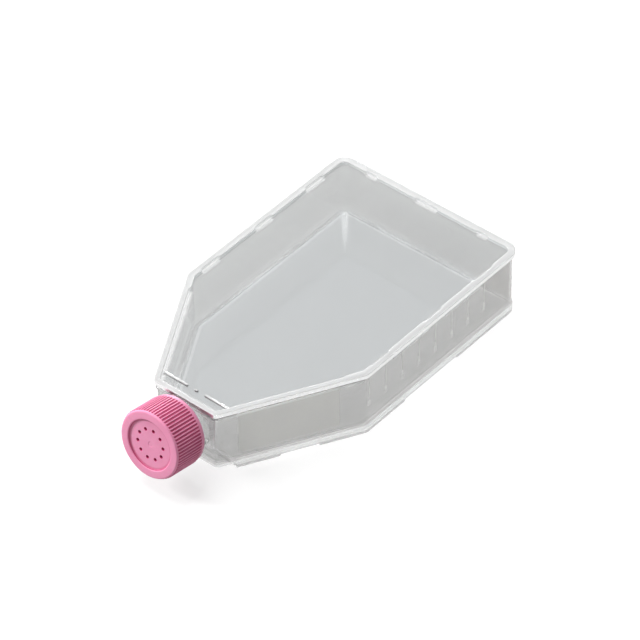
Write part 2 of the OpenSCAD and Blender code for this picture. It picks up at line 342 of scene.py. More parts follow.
def box_grid(low: Sequence[float], high: Sequence[float], edge: float) -> Array:
    """A bar with rounded edges from low to high: a rounded rectangle in x and z, drawn in at both ends of y.

    Args:
        low: Lowest corner.
        high: Highest corner.
        edge: Radius of the edges.

    Returns:
        Points, as rows round the section x stations along y x 3.
    """
    low, high = np.asarray(low), np.asarray(high)
    half, centre = (high - low)[::2] / 2, (high + low)[::2] / 2
    turn = np.linspace(0.0, 0.5 * math.pi, 4)
    angle = (turn + 0.5 * math.pi * np.arange(4)[:, None]).ravel()
    sides = np.repeat([[1, 1], [-1, 1], [-1, -1], [1, -1]], len(turn), axis=0)
    arcs = edge * np.stack([np.cos(angle), np.sin(angle)], axis=1) + sides * (half - edge)
    drawn, ends = edge * (1 - np.sin(turn)), edge * (1 - np.cos(turn))
    inward = np.concatenate([drawn, drawn[::-1]])
    stations = np.concatenate([low[1] + ends, high[1] - ends[::-1]])
    xz = centre + arcs[:, None] - sides[:, None] * inward[None, :, None]
    return np.stack([xz[..., 0], np.broadcast_to(stations, xz.shape[:2]), xz[..., 1]], axis=2)


# --------------------------------------------------------------------------------------- outline


@dataclass(frozen=True)
class Track:
    """Stations round the outline: each on a rounded corner, by its angle, or on the edge after it."""

    corner: Array
    on_arc: Array
    angle: Array
    along: Array


@dataclass(frozen=True)
class Outline:
    """The flask's six-sided plan, anticlockwise from the front left, and its place in the frame."""

    width: float
    length: float
    middle: float
    shoulder: float = 69.9
    front: float = 39.6
    front_radius: float = 4.0
    shoulder_radius: float = 6.0
    back_radius: float = 7.5
    least_radius: float = 0.3
    arc_steps: int = 12
    spacing: float = 4.0
    least_spacing: float = 0.5
    end_gap: float = 0.05
    ramp: float = 0.7
    settle: float = 6.0

    @property
    def corners(self) -> Array:
        """The outline's sharp corners."""
        w, f = self.width / 2, self.front / 2
        return np.array([[-f, 0], [f, 0], [w, self.shoulder], [w, self.length],
                         [-w, self.length], [-w, self.shoulder]])

    @property
    def radii(self) -> Array:
        """Radius of each corner."""
        f, s, b = self.front_radius, self.shoulder_radius, self.back_radius
        return np.array([f, f, s, b, b, s])

    @property
    def shoulder_angle(self) -> float:
        """Angle between the front edge's line and the right shoulder."""
        return math.atan2(self.shoulder, (self.width - self.front) / 2)

    def edges(self) -> tuple[Array, Array, Array]:
        """The edge that follows each corner.

        Returns:
            Its direction, its length and its inward normal.
        """
        step = np.roll(self.corners, -1, axis=0) - self.corners
        length = np.linalg.norm(step, axis=1)
        way = step / length[:, None]
        return way, length, np.stack([-way[:, 1], way[:, 0]], axis=1)

    def bends(self) -> tuple[Array, Array, Array]:
        """The bend at each corner.

        Returns:
            The tangent of half its turn, the angle at which its arc starts, and its turn.
        """
        normal = self.edges()[2]
        before = np.roll(normal, 1, axis=0)
        turn = np.arccos(np.clip(np.sum(before * normal, axis=1), -1, 1))
        return np.tan(turn / 2), np.arctan2(-before[:, 1], -before[:, 0]), turn

    def track(self, side_events: Sequence[float], back_events: Sequence[float]) -> Track:
        """Stations at every rounded corner and along every edge, closer where a feature starts or ends.

        Args:
            side_events: Distances from the front edge where a feature of the sides starts or ends.
            back_events: Distances from the middle where a feature of the back or the front does.

        Returns:
            The stations in order.
        """
        way, length, _ = self.edges()
        tangent, start, turn = self.bends()
        reach = self.radii * tangent
        fine = self.ramp * np.array([-0.5, -1 / 6, 1 / 6, 0.5])
        both_ways = [side * event for event in back_events for side in (-1, 1)]
        rows: list[Array] = []
        for k in range(6):
            angle = start[k] + turn[k] * np.linspace(0, 1, self.arc_steps + 1)
            low, high = reach[k], length[k] - reach[(k + 1) % 6]
            axis, events = (0, both_ways) if abs(way[k, 1]) < 0.1 else (1, side_events)
            at = (np.asarray(events, dtype=float) - self.corners[k, axis]) / way[k, axis]
            at = (at[:, None] + fine[None, :]).ravel()
            regular = np.linspace(low, high, max(2, int((high - low) / self.spacing)) + 1)[1:-1]
            if len(at):
                regular = regular[np.abs(regular[:, None] - at[None, :]).min(axis=1) > self.least_spacing]
            along = np.concatenate([regular, at])
            along = along[(along > low + self.end_gap) & (along < high - self.end_gap)]
            along = np.unique(np.round(along, 2))
            for on_arc, value in ((1, angle), (0, along)):
                full = np.ones_like(value)
                rows.append(np.stack([k * full, on_arc * full, on_arc * value, (1 - on_arc) * value], axis=1))
        corner, on_arc, angle, along = np.concatenate(rows).T
        return Track(corner.astype(int), on_arc > 0.5, angle, along)

    def points(self, track: Track, inset: Array) -> Array:
        """Points of the outline moved in by inset, station by station.

        On an edge it is corner + way x along + inward normal x inset. On a corner it is the arc about the
        centre that lies inset + radius in from both edges, where the radius shrinks by the inset down to the
        least radius. Where an arc can't shrink any more, the stations next to it close up to make room.

        Args:
            track: The stations.
            inset: Way in from the outline, as stations x columns.

        Returns:
            Points, as stations x columns x 2.
        """
        way, length, normal = self.edges()
        tangent, _, _ = self.bends()
        after = (track.corner + 1) % 6
        k = track.corner

        def reach_of(corner: Array, by: Array) -> Array:
            """Way from the sharp corner of the outline to the arc's end, along the edge."""
            return ((by + np.maximum(self.least_radius, self.radii[corner][:, None] - by))
                    * tangent[corner][:, None])

        none = np.zeros_like(inset)
        low, high = reach_of(k, inset), length[k][:, None] - reach_of(after, inset)
        low0, high0 = reach_of(k, none), length[k][:, None] - reach_of(after, none)
        along = np.broadcast_to(track.along[:, None], inset.shape)
        near = np.clip(1 - (along - low0) / self.settle, 0, 1)
        far = np.clip(1 - (high0 - along) / self.settle, 0, 1)
        along = along + (low - low0) * near + (high - high0) * far
        edge = (self.corners[k][:, None] + way[k][:, None] * along[..., None]
                + normal[k][:, None] * inset[..., None])

        radius = np.maximum(self.least_radius, self.radii[k][:, None] - inset)
        before = normal[(k - 1) % 6]
        miter = (before + normal[k]) / (1 + np.sum(before * normal[k], axis=1))[:, None]
        centre = self.corners[k][:, None] + miter[:, None] * (inset + radius)[..., None]
        ray = np.stack([np.cos(track.angle), np.sin(track.angle)], axis=1)
        arc = centre + ray[:, None] * radius[..., None]
        return np.where(track.on_arc[:, None, None], arc, edge)

    def sweep(self, track: Track, section: Array) -> Array:
        """Carries a section of [inset, height] along the stations, and puts it in its place.

        Args:
            track: The stations.
            section: Section at each station, as stations x columns x 2.

        Returns:
            Points, as stations x columns x 3.
        """
        plan = self.points(track, section[..., 0])
        return np.stack([plan[..., 0], plan[..., 1] - self.middle, section[..., 1]], axis=2)

    def places(self, track: Track) -> tuple[Array, Array]:
        """Each station's distance from the middle, and its distance from the front edge."""
        at = self.points(track, np.zeros((len(track.corner), 1)))[:, 0]
        return np.abs(at[:, 0]), at[:, 1]

    def runs(self, track: Track, sides: Spans, backs: Spans = ()) -> Array:
        """Where a feature runs that comes in stretches.

        Args:
            track: The stations.
            sides: Its stretches on the sides, as distances from the front edge.
            backs: Its stretches on the back, as distances from the middle.

        Returns:
            0 to 1 at each station.
        """
        x, y = self.places(track)
        side = sum(span(y, *ends, self.ramp) for ends in sides)
        back = sum(span(x, *ends, self.ramp) for ends in backs)
        return np.where(y > self.length - BACK_EDGE, back, side)

    def inset_of(self, points: Array) -> Array:
        """How far points lie inside the sharp outline: the least distance to its six edges.

        Args:
            points: Points x 3, in the frame's place.

        Returns:
            One distance a point.
        """
        normal = self.edges()[2]
        drawn = points[:, :2] + np.array([0.0, self.middle])
        return np.min(np.einsum("pkc,kc->pk", drawn[:, None] - self.corners[None], normal), axis=1)


@dataclass(frozen=True)
class Axle:
    """The neck's axis: it starts on the front wall and rises at the cant."""

    origin: Array
    cant: float

    @property
    def rows(self) -> Array:
        """Directions across, up and along the axis."""
        c, s = math.cos(self.cant), math.sin(self.cant)
        return np.array([[1.0, 0.0, 0.0], [0.0, s, c], [0.0, -c, s]])

    def place(self, local: Array) -> Array:
        """Points [across, up, along] put on the axis."""
        return self.origin + local @ self.rows

    def turned(self, section: Array, angles: Array) -> Array:
        """Turns a section of [radius, along] about the axis.

        Args:
            section: Points x 2, or angles x points x 2 where the section changes round the axis.
            angles: Angles of the rows.

        Returns:
            Points, as angles x points x 3.
        """
        many = np.broadcast_to(section, (len(angles),) + section.shape[-2:])
        r, s = many[..., 0], many[..., 1]
        c, d = np.cos(angles)[:, None], np.sin(angles)[:, None]
        return self.place(np.stack([r * c, r * d, s], axis=2))


@dataclass(frozen=True)
class Thread:
    """A screw ridge with faded ends."""

    start: float
    root: float
    crest: float
    pitch: float = 5.0
    turns: float = 1.6
    width: float = 2.1
    steps: int = 64
    fade: float = 0.125
    least: float = 0.02
    flank: float = 0.45
    tip: float = 0.4
    sink: float = 0.3

    def grid(self, axle: Axle) -> Array:
        """The ridge's section carried along its helix.

        The section's radius is root + (crest - root) x rise x flat, where flat falls from 1 over the
        middle of the width to 0 at its edges, and rise goes from almost 0 to 1 over the fade at each end. Its
        two last points lie inside the wall. solid() closes this grid along the helix, not round the section,
        which leaves stray sheets inside the cap. With its first two axes swapped it would close as a ridge.

        Args:
            axle: Axis of the helix.

        Returns:
            Points, as stations x section points x 3.
        """
        t = np.linspace(0, self.turns, int(self.turns * self.steps) + 1)
        rise = smooth_step(np.minimum(t, self.turns - t) / self.fade) * (1 - self.least) + self.least
        across = np.array([-1, -0.8, -0.62, -0.5, -0.25, 0.25, 0.5, 0.62, 0.8, 1.0])
        flat = below(np.abs(across), 1, self.flank)
        half = self.width / 2 * (self.tip + (1 - self.tip) * rise)
        radius = self.root + (self.crest - self.root) * rise[:, None] * flat[None]
        along = self.start + self.pitch * t[:, None] + half[:, None] * across[None]
        sunk = self.root - math.copysign(self.sink, self.crest - self.root)
        radius = np.concatenate([radius, np.full((len(t), 2), sunk)], axis=1)
        along = np.concatenate([along, along[:, -1:], along[:, :1]], axis=1)
        angle = 2 * math.pi * t[:, None]
        return axle.place(np.stack([radius * np.cos(angle), radius * np.sin(angle), along], axis=2))


# ---------------------------------------------------------------------------------------- shading


class Graph:
    """A material's or a world's nodes."""

    def __init__(self, owner: Union[Material, bpy.types.World]) -> None:
        """Empties a node tree.

        Args:
            owner: The material or world whose tree it is.
        """
        owner.use_nodes = True
        self.tree = owner.node_tree
        self.tree.nodes.clear()

    def node(self, kind: str, settings: dict[str, Any] | None = None, **inputs: Any) -> bpy.types.Node:
        """Adds a node.

        Args:
            kind: Type of the node, without its leading words.
            settings: Properties of the node, which are set before its sockets.
            inputs: Values or links by socket name, with _ for a space, or by number after an i.

        Returns:
            The node.
        """
        made = self.tree.nodes.new("ShaderNode" + kind)
        for key, value in (settings or {}).items():
            setattr(made, key, value)
        for key, value in inputs.items():
            by_number = key[0] == "i" and key[1:].isdigit()
            self.feed(made.inputs[int(key[1:]) if by_number else key.replace("_", " ")], value)
        return made

    def feed(self, socket: Socket, value: Any) -> None:
        """Links a wrapped output to a socket, or sets the socket's value.

        Args:
            socket: The socket.
            value: A wrapped output, a number, or a colour or vector.
        """
        if isinstance(value, Value):
            self.tree.links.new(value.socket, socket)
        else:
            socket.default_value = (*value[:3], 1.0) if socket.type == "RGBA" else value

    def value(self, kind: str, output: Union[int, str] = 0, settings: dict[str, Any] | None = None,
              **inputs: Any) -> "Value":
        """Adds a node and wraps one of its outputs."""
        return Value(self, self.node(kind, settings, **inputs).outputs[output])

    def math(self, operation: str, first: Any, second: Any) -> "Value":
        """A Math node on two numbers."""
        return self.value("Math", 0, {"operation": operation}, i0=first, i1=second)

    def mixed(self, share: Any, first: Any, second: Any) -> "Value":
        """A colour between two colours, by share."""
        return self.value("Mix", 2, {"data_type": "RGBA"}, i0=share, i6=first, i7=second)

    def blend(self, share: Any, first: Any, second: Any) -> "Value":
        """A surface between two surfaces, by share."""
        return self.value("MixShader", i0=share, i1=first, i2=second)

    def noise(self, place: "Value", scale: float, detail: float = 2.0, rough: float = 0.5) -> "Value":
        """Fractal noise at the given places."""
        return self.value("TexNoise", "Fac", Vector=place, Scale=scale, Detail=detail, Roughness=rough)

    def bump(self, height: "Value", strength: float, distance: float) -> "Value":
        """Normals of a skin that is raised by height."""
        return self.value("Bump", Height=height, Strength=strength, Distance=distance)

    def attribute(self, name: str) -> "Value":
        """A number that is painted on the piece."""
        return self.value("Attribute", "Fac", {"attribute_name": name})

    def place(self, scale: Sequence[float] = ()) -> "Value":
        """Object coordinates, scaled where a scale is given."""
        place = self.value("TexCoord", "Object")
        return self.value("Mapping", Vector=place, Scale=scale) if scale else place

    def rays(self, *kinds: str) -> list["Value"]:
        """1 for rays of each kind and 0 for others."""
        outputs = self.node("LightPath").outputs
        return [Value(self, outputs[f"Is {kind} Ray"]) for kind in kinds]

    def finish(self, surface: Any) -> None:
        """Ends the tree with the surface that an object shows."""
        kind = "OutputWorld" if isinstance(self.tree.id_data, bpy.types.World) else "OutputMaterial"
        self.node(kind, Surface=surface)


@dataclass(frozen=True)
class Value:
    """A node's output that takes part in sums."""

    graph: Graph
    socket: Socket

    def __add__(self, other: Any) -> "Value":
        """This plus the other."""
        return self.graph.math("ADD", self, other)

    def __radd__(self, other: Any) -> "Value":
        """The other plus this."""
        return self.graph.math("ADD", other, self)

    def __sub__(self, other: Any) -> "Value":
        """This less the other."""
        return self.graph.math("SUBTRACT", self, other)

    def __rsub__(self, other: Any) -> "Value":
        """The other less this."""
        return self.graph.math("SUBTRACT", other, self)

    def __mul__(self, other: Any) -> "Value":
        """This times the other."""
        return self.graph.math("MULTIPLY", self, other)

    def __rmul__(self, other: Any) -> "Value":
        """The other times this."""
        return self.graph.math("MULTIPLY", other, self)

    def between(self, low: float, high: float) -> "Value":
        """0 below low and 1 above high, smooth in between."""
        settings = {"interpolation_type": "SMOOTHSTEP"}
        return self.graph.value("MapRange", 0, settings, Value=self, From_Min=low, From_Max=high)

    def clipped(self) -> "Value":
        """Held between 0 and 1."""
        return self.graph.math("MINIMUM", self.graph.math("MAXIMUM", self, 0.0), 1.0)


@dataclass(frozen=True)
class Skin:
    """What every finish has: a name, and the surface that its nodes make."""

    name: str

    def surface(self, g: Graph) -> Value:
        """Makes the nodes of the finish's surface."""
        raise NotImplementedError

    def material(self) -> Material:
        """Makes the finish's material.

        Returns:
            The material.
        """
        made = bpy.data.materials.new(self.name)
        g = Graph(made)
        g.finish(self.surface(g))
        return made


@dataclass(frozen=True)
class ClearPlastic(Skin):
    """Clear polystyrene: it bends and mirrors what is round it, and each wall takes a little of the light.

    Five painted numbers say how the plastic looks. tone is 0 on the plate and 1 on walls and floor, which
    take more light. clear turns the plastic colourless. white is the share of painted light on rims and thick
    edges: a pale skin that stands in for the light they scatter and pipe, brighter where tone or mirror is
    high. mirror makes that pale skin reflect.
    open is the share of the rest that passes straight through, where a thick edge would bend the light to
    nowhere. Lamps and soft light pass straight through, so that the bench under the flask is only a little
    darker.
    """

    panel: Triple = (0.83, 0.848, 0.857)
    wall: Triple = (0.68, 0.675, 0.665)
    edge: Triple = (0.97, 0.975, 0.975)
    # The next two colours are the dim and the bright colour of the painted edge light: a pale skin that
    # stands in for the light that rims and thick edges scatter and pipe
    edge_light: Triple = (0.60, 0.605, 0.605)
    bright: Triple = (0.95, 0.955, 0.955)
    passed: Triple = (0.91, 0.91, 0.91)
    roughness: float = 0.02
    edge_light_roughness: float = 0.25
    wave: float = 0.006
    wave_depth: float = 0.002
    wave_scale: float = 60.0
    stretch: float = 0.05

    def surface(self, g: Graph) -> Value:
        """Makes the nodes of the finish's surface.

        Args:
            g: The material's nodes.

        Returns:
            The surface.
        """
        tone, clear, white, opened, mirror = map(g.attribute, ("tone", "clear", "white", "open", "mirror"))
        bump = g.bump(g.noise(g.place((1.0, 1.0, self.stretch)), self.wave_scale), self.wave, self.wave_depth)

        def tint(power: float) -> Value:
            """The plastic's colour to a power, which is the share of two faces that it stands for."""
            panel, wall, edge = (
                tuple(c**power for c in colour) for colour in (self.panel, self.wall, self.edge))
            return g.mixed(clear, g.mixed(tone, panel, wall), edge)

        glass = g.value("BsdfPrincipled", Base_Color=tint(1.0), Roughness=self.roughness, IOR=POLYSTYRENE_IOR,
                        Transmission_Weight=1.0, Normal=bump)
        bent = g.blend(opened, glass, g.value("BsdfTransparent", Color=tint(0.5)))
        # Painted edge light: the pale skin's colour, brighter where tone or mirror is high
        edge_light = g.mixed((tone + mirror).clipped(), self.edge_light, self.bright)
        pale = g.value("BsdfPrincipled", Base_Color=edge_light, Metallic=mirror, Roughness=self.edge_light_roughness,
                       IOR=POLYSTYRENE_IOR, Normal=bump)
        through = g.value("BsdfTransparent", Color=self.passed)
        soft, shadow = g.rays("Diffuse", "Shadow")
        return g.blend(shadow, g.blend(soft, g.blend(white, bent, pale), through), through)


@dataclass(frozen=True)
class FrostedPlastic(Skin):
    """Etched polystyrene that can be written on, and the moulded marks: pale, rough and half clear."""

    colour: Triple = (0.96, 0.96, 0.92)
    density: float = 0.30
    roughness: float = 0.75
    grain: float = 3200.0
    worn: float = 0.93

    def surface(self, g: Graph) -> Value:
        """Makes the nodes of the finish's surface.

        Args:
            g: The material's nodes.

        Returns:
            The surface.
        """
        grain = g.noise(g.place(), self.grain, 3.0, 0.6)
        shade = g.mixed(grain, tuple(self.worn * c for c in self.colour), self.colour)
        body = g.value("BsdfPrincipled", Base_Color=shade, Roughness=self.roughness, IOR=POLYSTYRENE_IOR,
                       Specular_IOR_Level=1.0, Transmission_Weight=0.6, Normal=g.bump(grain, 0.25, 0.00005))
        dense = (grain * 0.08 + self.density).clipped()
        return g.blend(dense, g.value("BsdfTransparent", Color=(1.0, 1.0, 1.0)), body)


@dataclass(frozen=True)
class PinkPlastic(Skin):
    """Dyed polyethylene with a satin skin, finely textured by its mould, with shade painted darker into its
    hollows.
    """

    colour: Triple = (0.88, 0.33, 0.51)
    # the dark crimson of the shade painted into the cap's hollows
    painted_shade_colour: Triple = (0.44, 0.025, 0.11)
    roughness: float = 0.33
    specular: float = 0.3
    scatter: Triple = (0.004, 0.0012, 0.002)

    def surface(self, g: Graph) -> Value:
        """Makes the nodes of the finish's surface.

        Args:
            g: The material's nodes.

        Returns:
            The surface.
        """
        place = g.place()
        cloud, grain = g.noise(place, 90.0, 3.0), g.noise(place, 5200.0, 2.0, 0.6)
        # depth: a faint random cloud plus the painted shade of the hollows, which turns the pink towards the
        # painted shade colour
        depth = (cloud.between(0.35, 0.75) * 0.08 + g.attribute("hollow") * 0.92).clipped()
        rough = grain * 0.10 + cloud * 0.08 + self.roughness
        return g.value("BsdfPrincipled", Base_Color=g.mixed(depth, self.colour, self.painted_shade_colour), Roughness=rough,
                       IOR=1.5, Normal=g.bump(grain, 0.12, 0.00004), Specular_IOR_Level=self.specular,
                       Subsurface_Weight=0.12, Subsurface_Radius=self.scatter, Subsurface_Scale=1.0)


@dataclass(frozen=True)
class FilterFabric(Skin):
    """White hydrophobic membrane: a matt, faintly fibrous skin."""

    colour: Triple = (0.86, 0.86, 0.84)
    shaded: Triple = (0.70, 0.70, 0.69)

    def surface(self, g: Graph) -> Value:
        """Makes the nodes of the finish's surface.

        Args:
            g: The material's nodes.

        Returns:
            The surface.
        """
        fibre = g.noise(g.place((1.0, 0.25, 1.0)), 3000.0, 4.0, 0.65)
        shade = g.mixed(fibre.between(0.3, 0.7), self.shaded, self.colour)
        return g.value("BsdfPrincipled", Base_Color=shade, Roughness=0.85, IOR=1.38,
                       Normal=g.bump(fibre, 0.35, 0.0001))


# ----------------------------------------------------------------------------------------- pieces


@dataclass
class Tray:
    """The clear moulding under the plate: floor, walls, base band, feet, collar, lugs and neck.

    The rings are insets where the floor's mesh is fine, under it and on it, and the zones are insets between
    which it looks different. foot_reach is how far in the foot's look reaches on the floor and under it,
    clear_to how far up, and top_row how far down the rim's look has a mesh of its own.
    """

    outline: Outline
    axle: Axle
    rim_z: float = 37.45
    floor_under: float = 3.8
    floor_top: float = 5.1
    floor_fillet: float = 1.5
    wall_inset: float = 1.4
    inner_inset: float = 3.0
    base_z: float = 1.5
    band_top: float = 4.9
    band_inset: float = 0.8
    band_width: float = 2.6
    foot_width: float = 2.2
    lip_z: float = 2.2
    base_front: float = 9.4
    shoulder_gap: Pair = (34.0, 54.5)
    side_gap: Pair = (99.8, 140.8)
    back_gap: Pair = (11.0, 35.0)
    collar: Pair = (34.85, 35.85)
    collar_inset: float = 0.5
    collar_end: float = 68.9
    lugs: Spans = ((89.8, 117.8), (130.8, 157.3))
    lug_z: float = 35.95
    lug_gap: float = 0.35
    neck_root: float = 6.0
    neck_from: float = 1.5
    neck_length: float = 25.0
    neck_r: float = 14.7
    bore_r: float = 13.0
    mouth_edge: float = 0.35
    thread_start: float = 14.5
    thread_height: float = 1.2
    clear_to: float = 7.0
    top_row: float = 1.4
    under_rings: tuple[float, ...] = (6.8, 6.4, 5.4, 5.1)
    top_rings: tuple[float, ...] = (5.0, 5.2, 6.3, 6.5)
    ring_top: float = 2.1
    ring_zone: Pair = (2.7, 3.8)
    skirt_zone: Pair = (2.4, 3.9)
    heel_zone: Pair = (3.2, 5.3)
    shine_zone: Pair = (5.0, 6.5)
    foot_reach: Pair = (5.1, 6.5)
    floor_from: float = 3.7

    def gaps(self) -> Spans:
        """Where the feet of the sides are interrupted, as distances from the front edge."""
        slope = math.sin(self.outline.shoulder_angle)
        return (self.shoulder_gap[0] * slope, self.shoulder_gap[1] * slope), self.side_gap

    def section(self, track: Track) -> Array:
        """The wall's section at each station, from the floor's underside round the rim to the floor's top.

        Args:
            track: The stations.

        Returns:
            Points [inset, height], as stations x points x 2.
        """
        o = self.outline
        y = o.places(track)[1]
        base = span(y, self.base_front, math.inf, o.ramp)
        feet = base * (1 - o.runs(track, self.gaps(), [self.back_gap]))
        collar, lug = span(y, -math.inf, self.collar_end, o.ramp), o.runs(track, self.lugs)
        band, wall, inside = self.band_inset, self.wall_inset, self.inner_inset
        under, floor, top = self.floor_under, self.floor_top, self.rim_z - HAIRLINE
        inner, foot = band + self.band_width, band + self.foot_width
        low_z = self.base_z * base + (under - 0.1) * (1 - base)
        foot_z = (low_z - HAIRLINE) * (1 - feet)
        is_lug, bulge = collar <= 0, np.maximum(collar, lug)
        bulge_inset = np.where(is_lug, 0.0, self.collar_inset) * bulge + wall * (1 - bulge)
        top_inset = wall * (1 - lug)
        from_z = np.where(is_lug, self.lug_z, self.collar[0])
        to_z = np.where(is_lug, self.rim_z - self.lug_gap, self.collar[1])
        stops = [
            *((ring, under) for ring in self.under_rings),
            (inner, under, 0.3), (inner, low_z, 0.25), (foot, low_z, 0.15),
            (foot - 0.05, foot_z, 0.3), (band + 0.05, foot_z, 0.3), (band, low_z, 0.15),
            (band, np.maximum(low_z + 0.3, self.lip_z + 0.4)), (band, self.band_top, 0.35),
            (wall, self.band_top, 0.4), (wall, self.clear_to), (wall, from_z - 0.2, 0.15),
            (bulge_inset, from_z, 0.2), (bulge_inset, to_z, 0.2), (top_inset, to_z + 0.15, 0.15),
            (top_inset, top, 0.1), (inside, top, 0.15), (inside, top - self.top_row),
            (inside, self.clear_to), (inside, floor, self.floor_fillet),
            *((ring, floor) for ring in self.top_rings),
        ]
        return profile(stops, len(y))

    def neck(self) -> Piece:
        """The neck as a solid bar with its thread, trimmed to the front wall and to the rim's underside.

        Returns:
            The bar.
        """
        end = self.neck_length
        section = profile([(self.neck_r, -self.neck_root), (self.neck_r, end, 0.5),
                           (self.bore_r - 0.6, end)])[0]
        bar = solid("neck", self.axle.turned(section, round_steps(NECK_STEPS)))
        thread = Thread(self.thread_start, self.neck_r, self.neck_r + self.thread_height)
        combine(bar, solid("neck_thread", thread.grid(self.axle)), Merge.ADD)
        track = self.outline.track((), ())
        for name, inset, low in (("inside", self.wall_inset + 1.2, -2.0),
                                 ("above", -0.05, self.rim_z - 0.05)):
            wall = np.broadcast_to(np.array([[inset, low], [inset, HIGH_ABOVE]]), (len(track.corner), 2, 2))
            combine(bar, solid(name, self.outline.sweep(track, wall)), Merge.CUT)
        return bar

    def build(self) -> Piece:
        """The whole moulding as one closed shell.

        Returns:
            The moulding.
        """
        o = self.outline
        sides = [self.base_front, *(e for pair in self.gaps() for e in pair), self.collar_end,
                 *(e for pair in self.lugs for e in pair)]
        track = o.track(sides, self.back_gap)
        tray = solid("culture_tray", o.sweep(track, self.section(track)))
        front = self.base_front - o.middle
        half = o.front / 2 + self.base_front / math.tan(o.shoulder_angle) - self.wall_inset
        bar = box_grid((-half, front, self.base_z + 0.05),
                       (half, front + self.band_width, self.floor_under + 0.6), 0.3)
        combine(tray, solid("base_front_bar", bar), Merge.ADD)
        combine(tray, self.neck(), Merge.ADD)
        end, r, wide = self.neck_length, self.bore_r, self.bore_r + self.mouth_edge
        bore = np.array([(r, -self.neck_root - 0.5), (r, end - self.mouth_edge), (r + 0.12, end - 0.15),
                         (wide, end + HAIRLINE), (wide, end + 2)])
        combine(tray, solid("bore", self.axle.turned(bore, round_steps(NECK_STEPS))), Merge.CUT)
        self.tone(tray)
        return polish(tray)

    def tone(self, tray: Piece) -> None:
        """Paints the zones of the moulding: walls, edges, feet, floor and neck, some with painted edge light.

        Each zone is 1 inside its heights and insets and 0 outside, and what is painted is the strongest of
        the zones, each times its share. The neck has shares of its own.

        Args:
            tray: The moulding.
        """
        points = points_of(tray)
        inset, z = self.outline.inset_of(points), points[:, 2]
        along = (points - self.axle.origin) @ self.axle.rows[2]
        bar_y = self.base_front + self.band_width / 2 - self.outline.middle
        low = below(z, self.band_top + 0.15, 0.3)
        under = below(z, self.floor_under + 0.2, 0.2)
        band = low * below(inset, self.wall_inset + 0.3, 0.3) * past(z, self.base_z - 0.3, 0.3)
        reach = np.where(z > self.floor_top - 0.6, *self.foot_reach)
        zones = {
            "band": band,
            "ledge": band * past(z, self.band_top - 0.5, 0.2),
            "lip": band * past(z, self.lip_z, 0.4),
            "ring": below(z, self.ring_top, 0.3) * within(inset, self.ring_zone, 0.2, 0.3),
            "skirt": under * within(inset, self.skirt_zone, 0.4, 0.3),
            "heel": under * within(inset, self.heel_zone, 0.2, 0.2),
            "foot": below(z, self.clear_to + 0.1, 0.1) * below(inset, reach, 0.1),
            "shine": within(z, (self.floor_top - 0.6, self.floor_top + 0.3), 0.2, 0.2)
            * within(inset, self.shine_zone, 0.2, 0.2),
            "top": past(z, self.rim_z - 1.0, 0.2) * below(inset, self.inner_inset + 0.2, 0.2),
            "collar": below(inset, self.wall_inset - 0.2, 0.3) * (1 - low),
            "beam": below(z, self.floor_under - 0.1, 0.2)
            * below(np.abs(points[:, 1] - bar_y), self.band_width / 2 + 0.5, 0.3),
        }
        floor = below(z, self.floor_top + 0.2, 0.2) * past(inset, self.floor_from, 0.2)
        mouth = past(along, self.neck_length - 0.8, 0.4)
        body = {
            "mirror": strongest(zones, ring=1, lip=1),
            # white is painted light: a pale skin on band, lip, ring, rim top, collar and bar that stands in
            # for the light these thick edges scatter and pipe
            "white": strongest(zones, band=0.25, lip=0.4, ledge=0.35, ring=0.85, top=0.45, collar=0.45,
                               beam=0.3),
            "open": strongest(zones, foot=0.55, ring=1, beam=0.55, top=0.6, collar=0.6),
            # clear on the shine zone lightens the floor's line along the walls, a painted highlight
            "clear": strongest(zones, lip=1, top=1, collar=1, skirt=1, heel=0.7, shine=1, beam=0.5),
            "tone": 1 - 0.6 * floor,
        }
        # the neck's white is painted edge light too, strongest at the mouth
        neck = {"mirror": 0.0, "white": np.maximum(0.10, mouth * 0.6), "open": 0.3, "clear": 0.8, "tone": 0.0}
        paint(tray, **{name: np.where(along > self.neck_from, neck[name], share)
                       for name, share in body.items()})


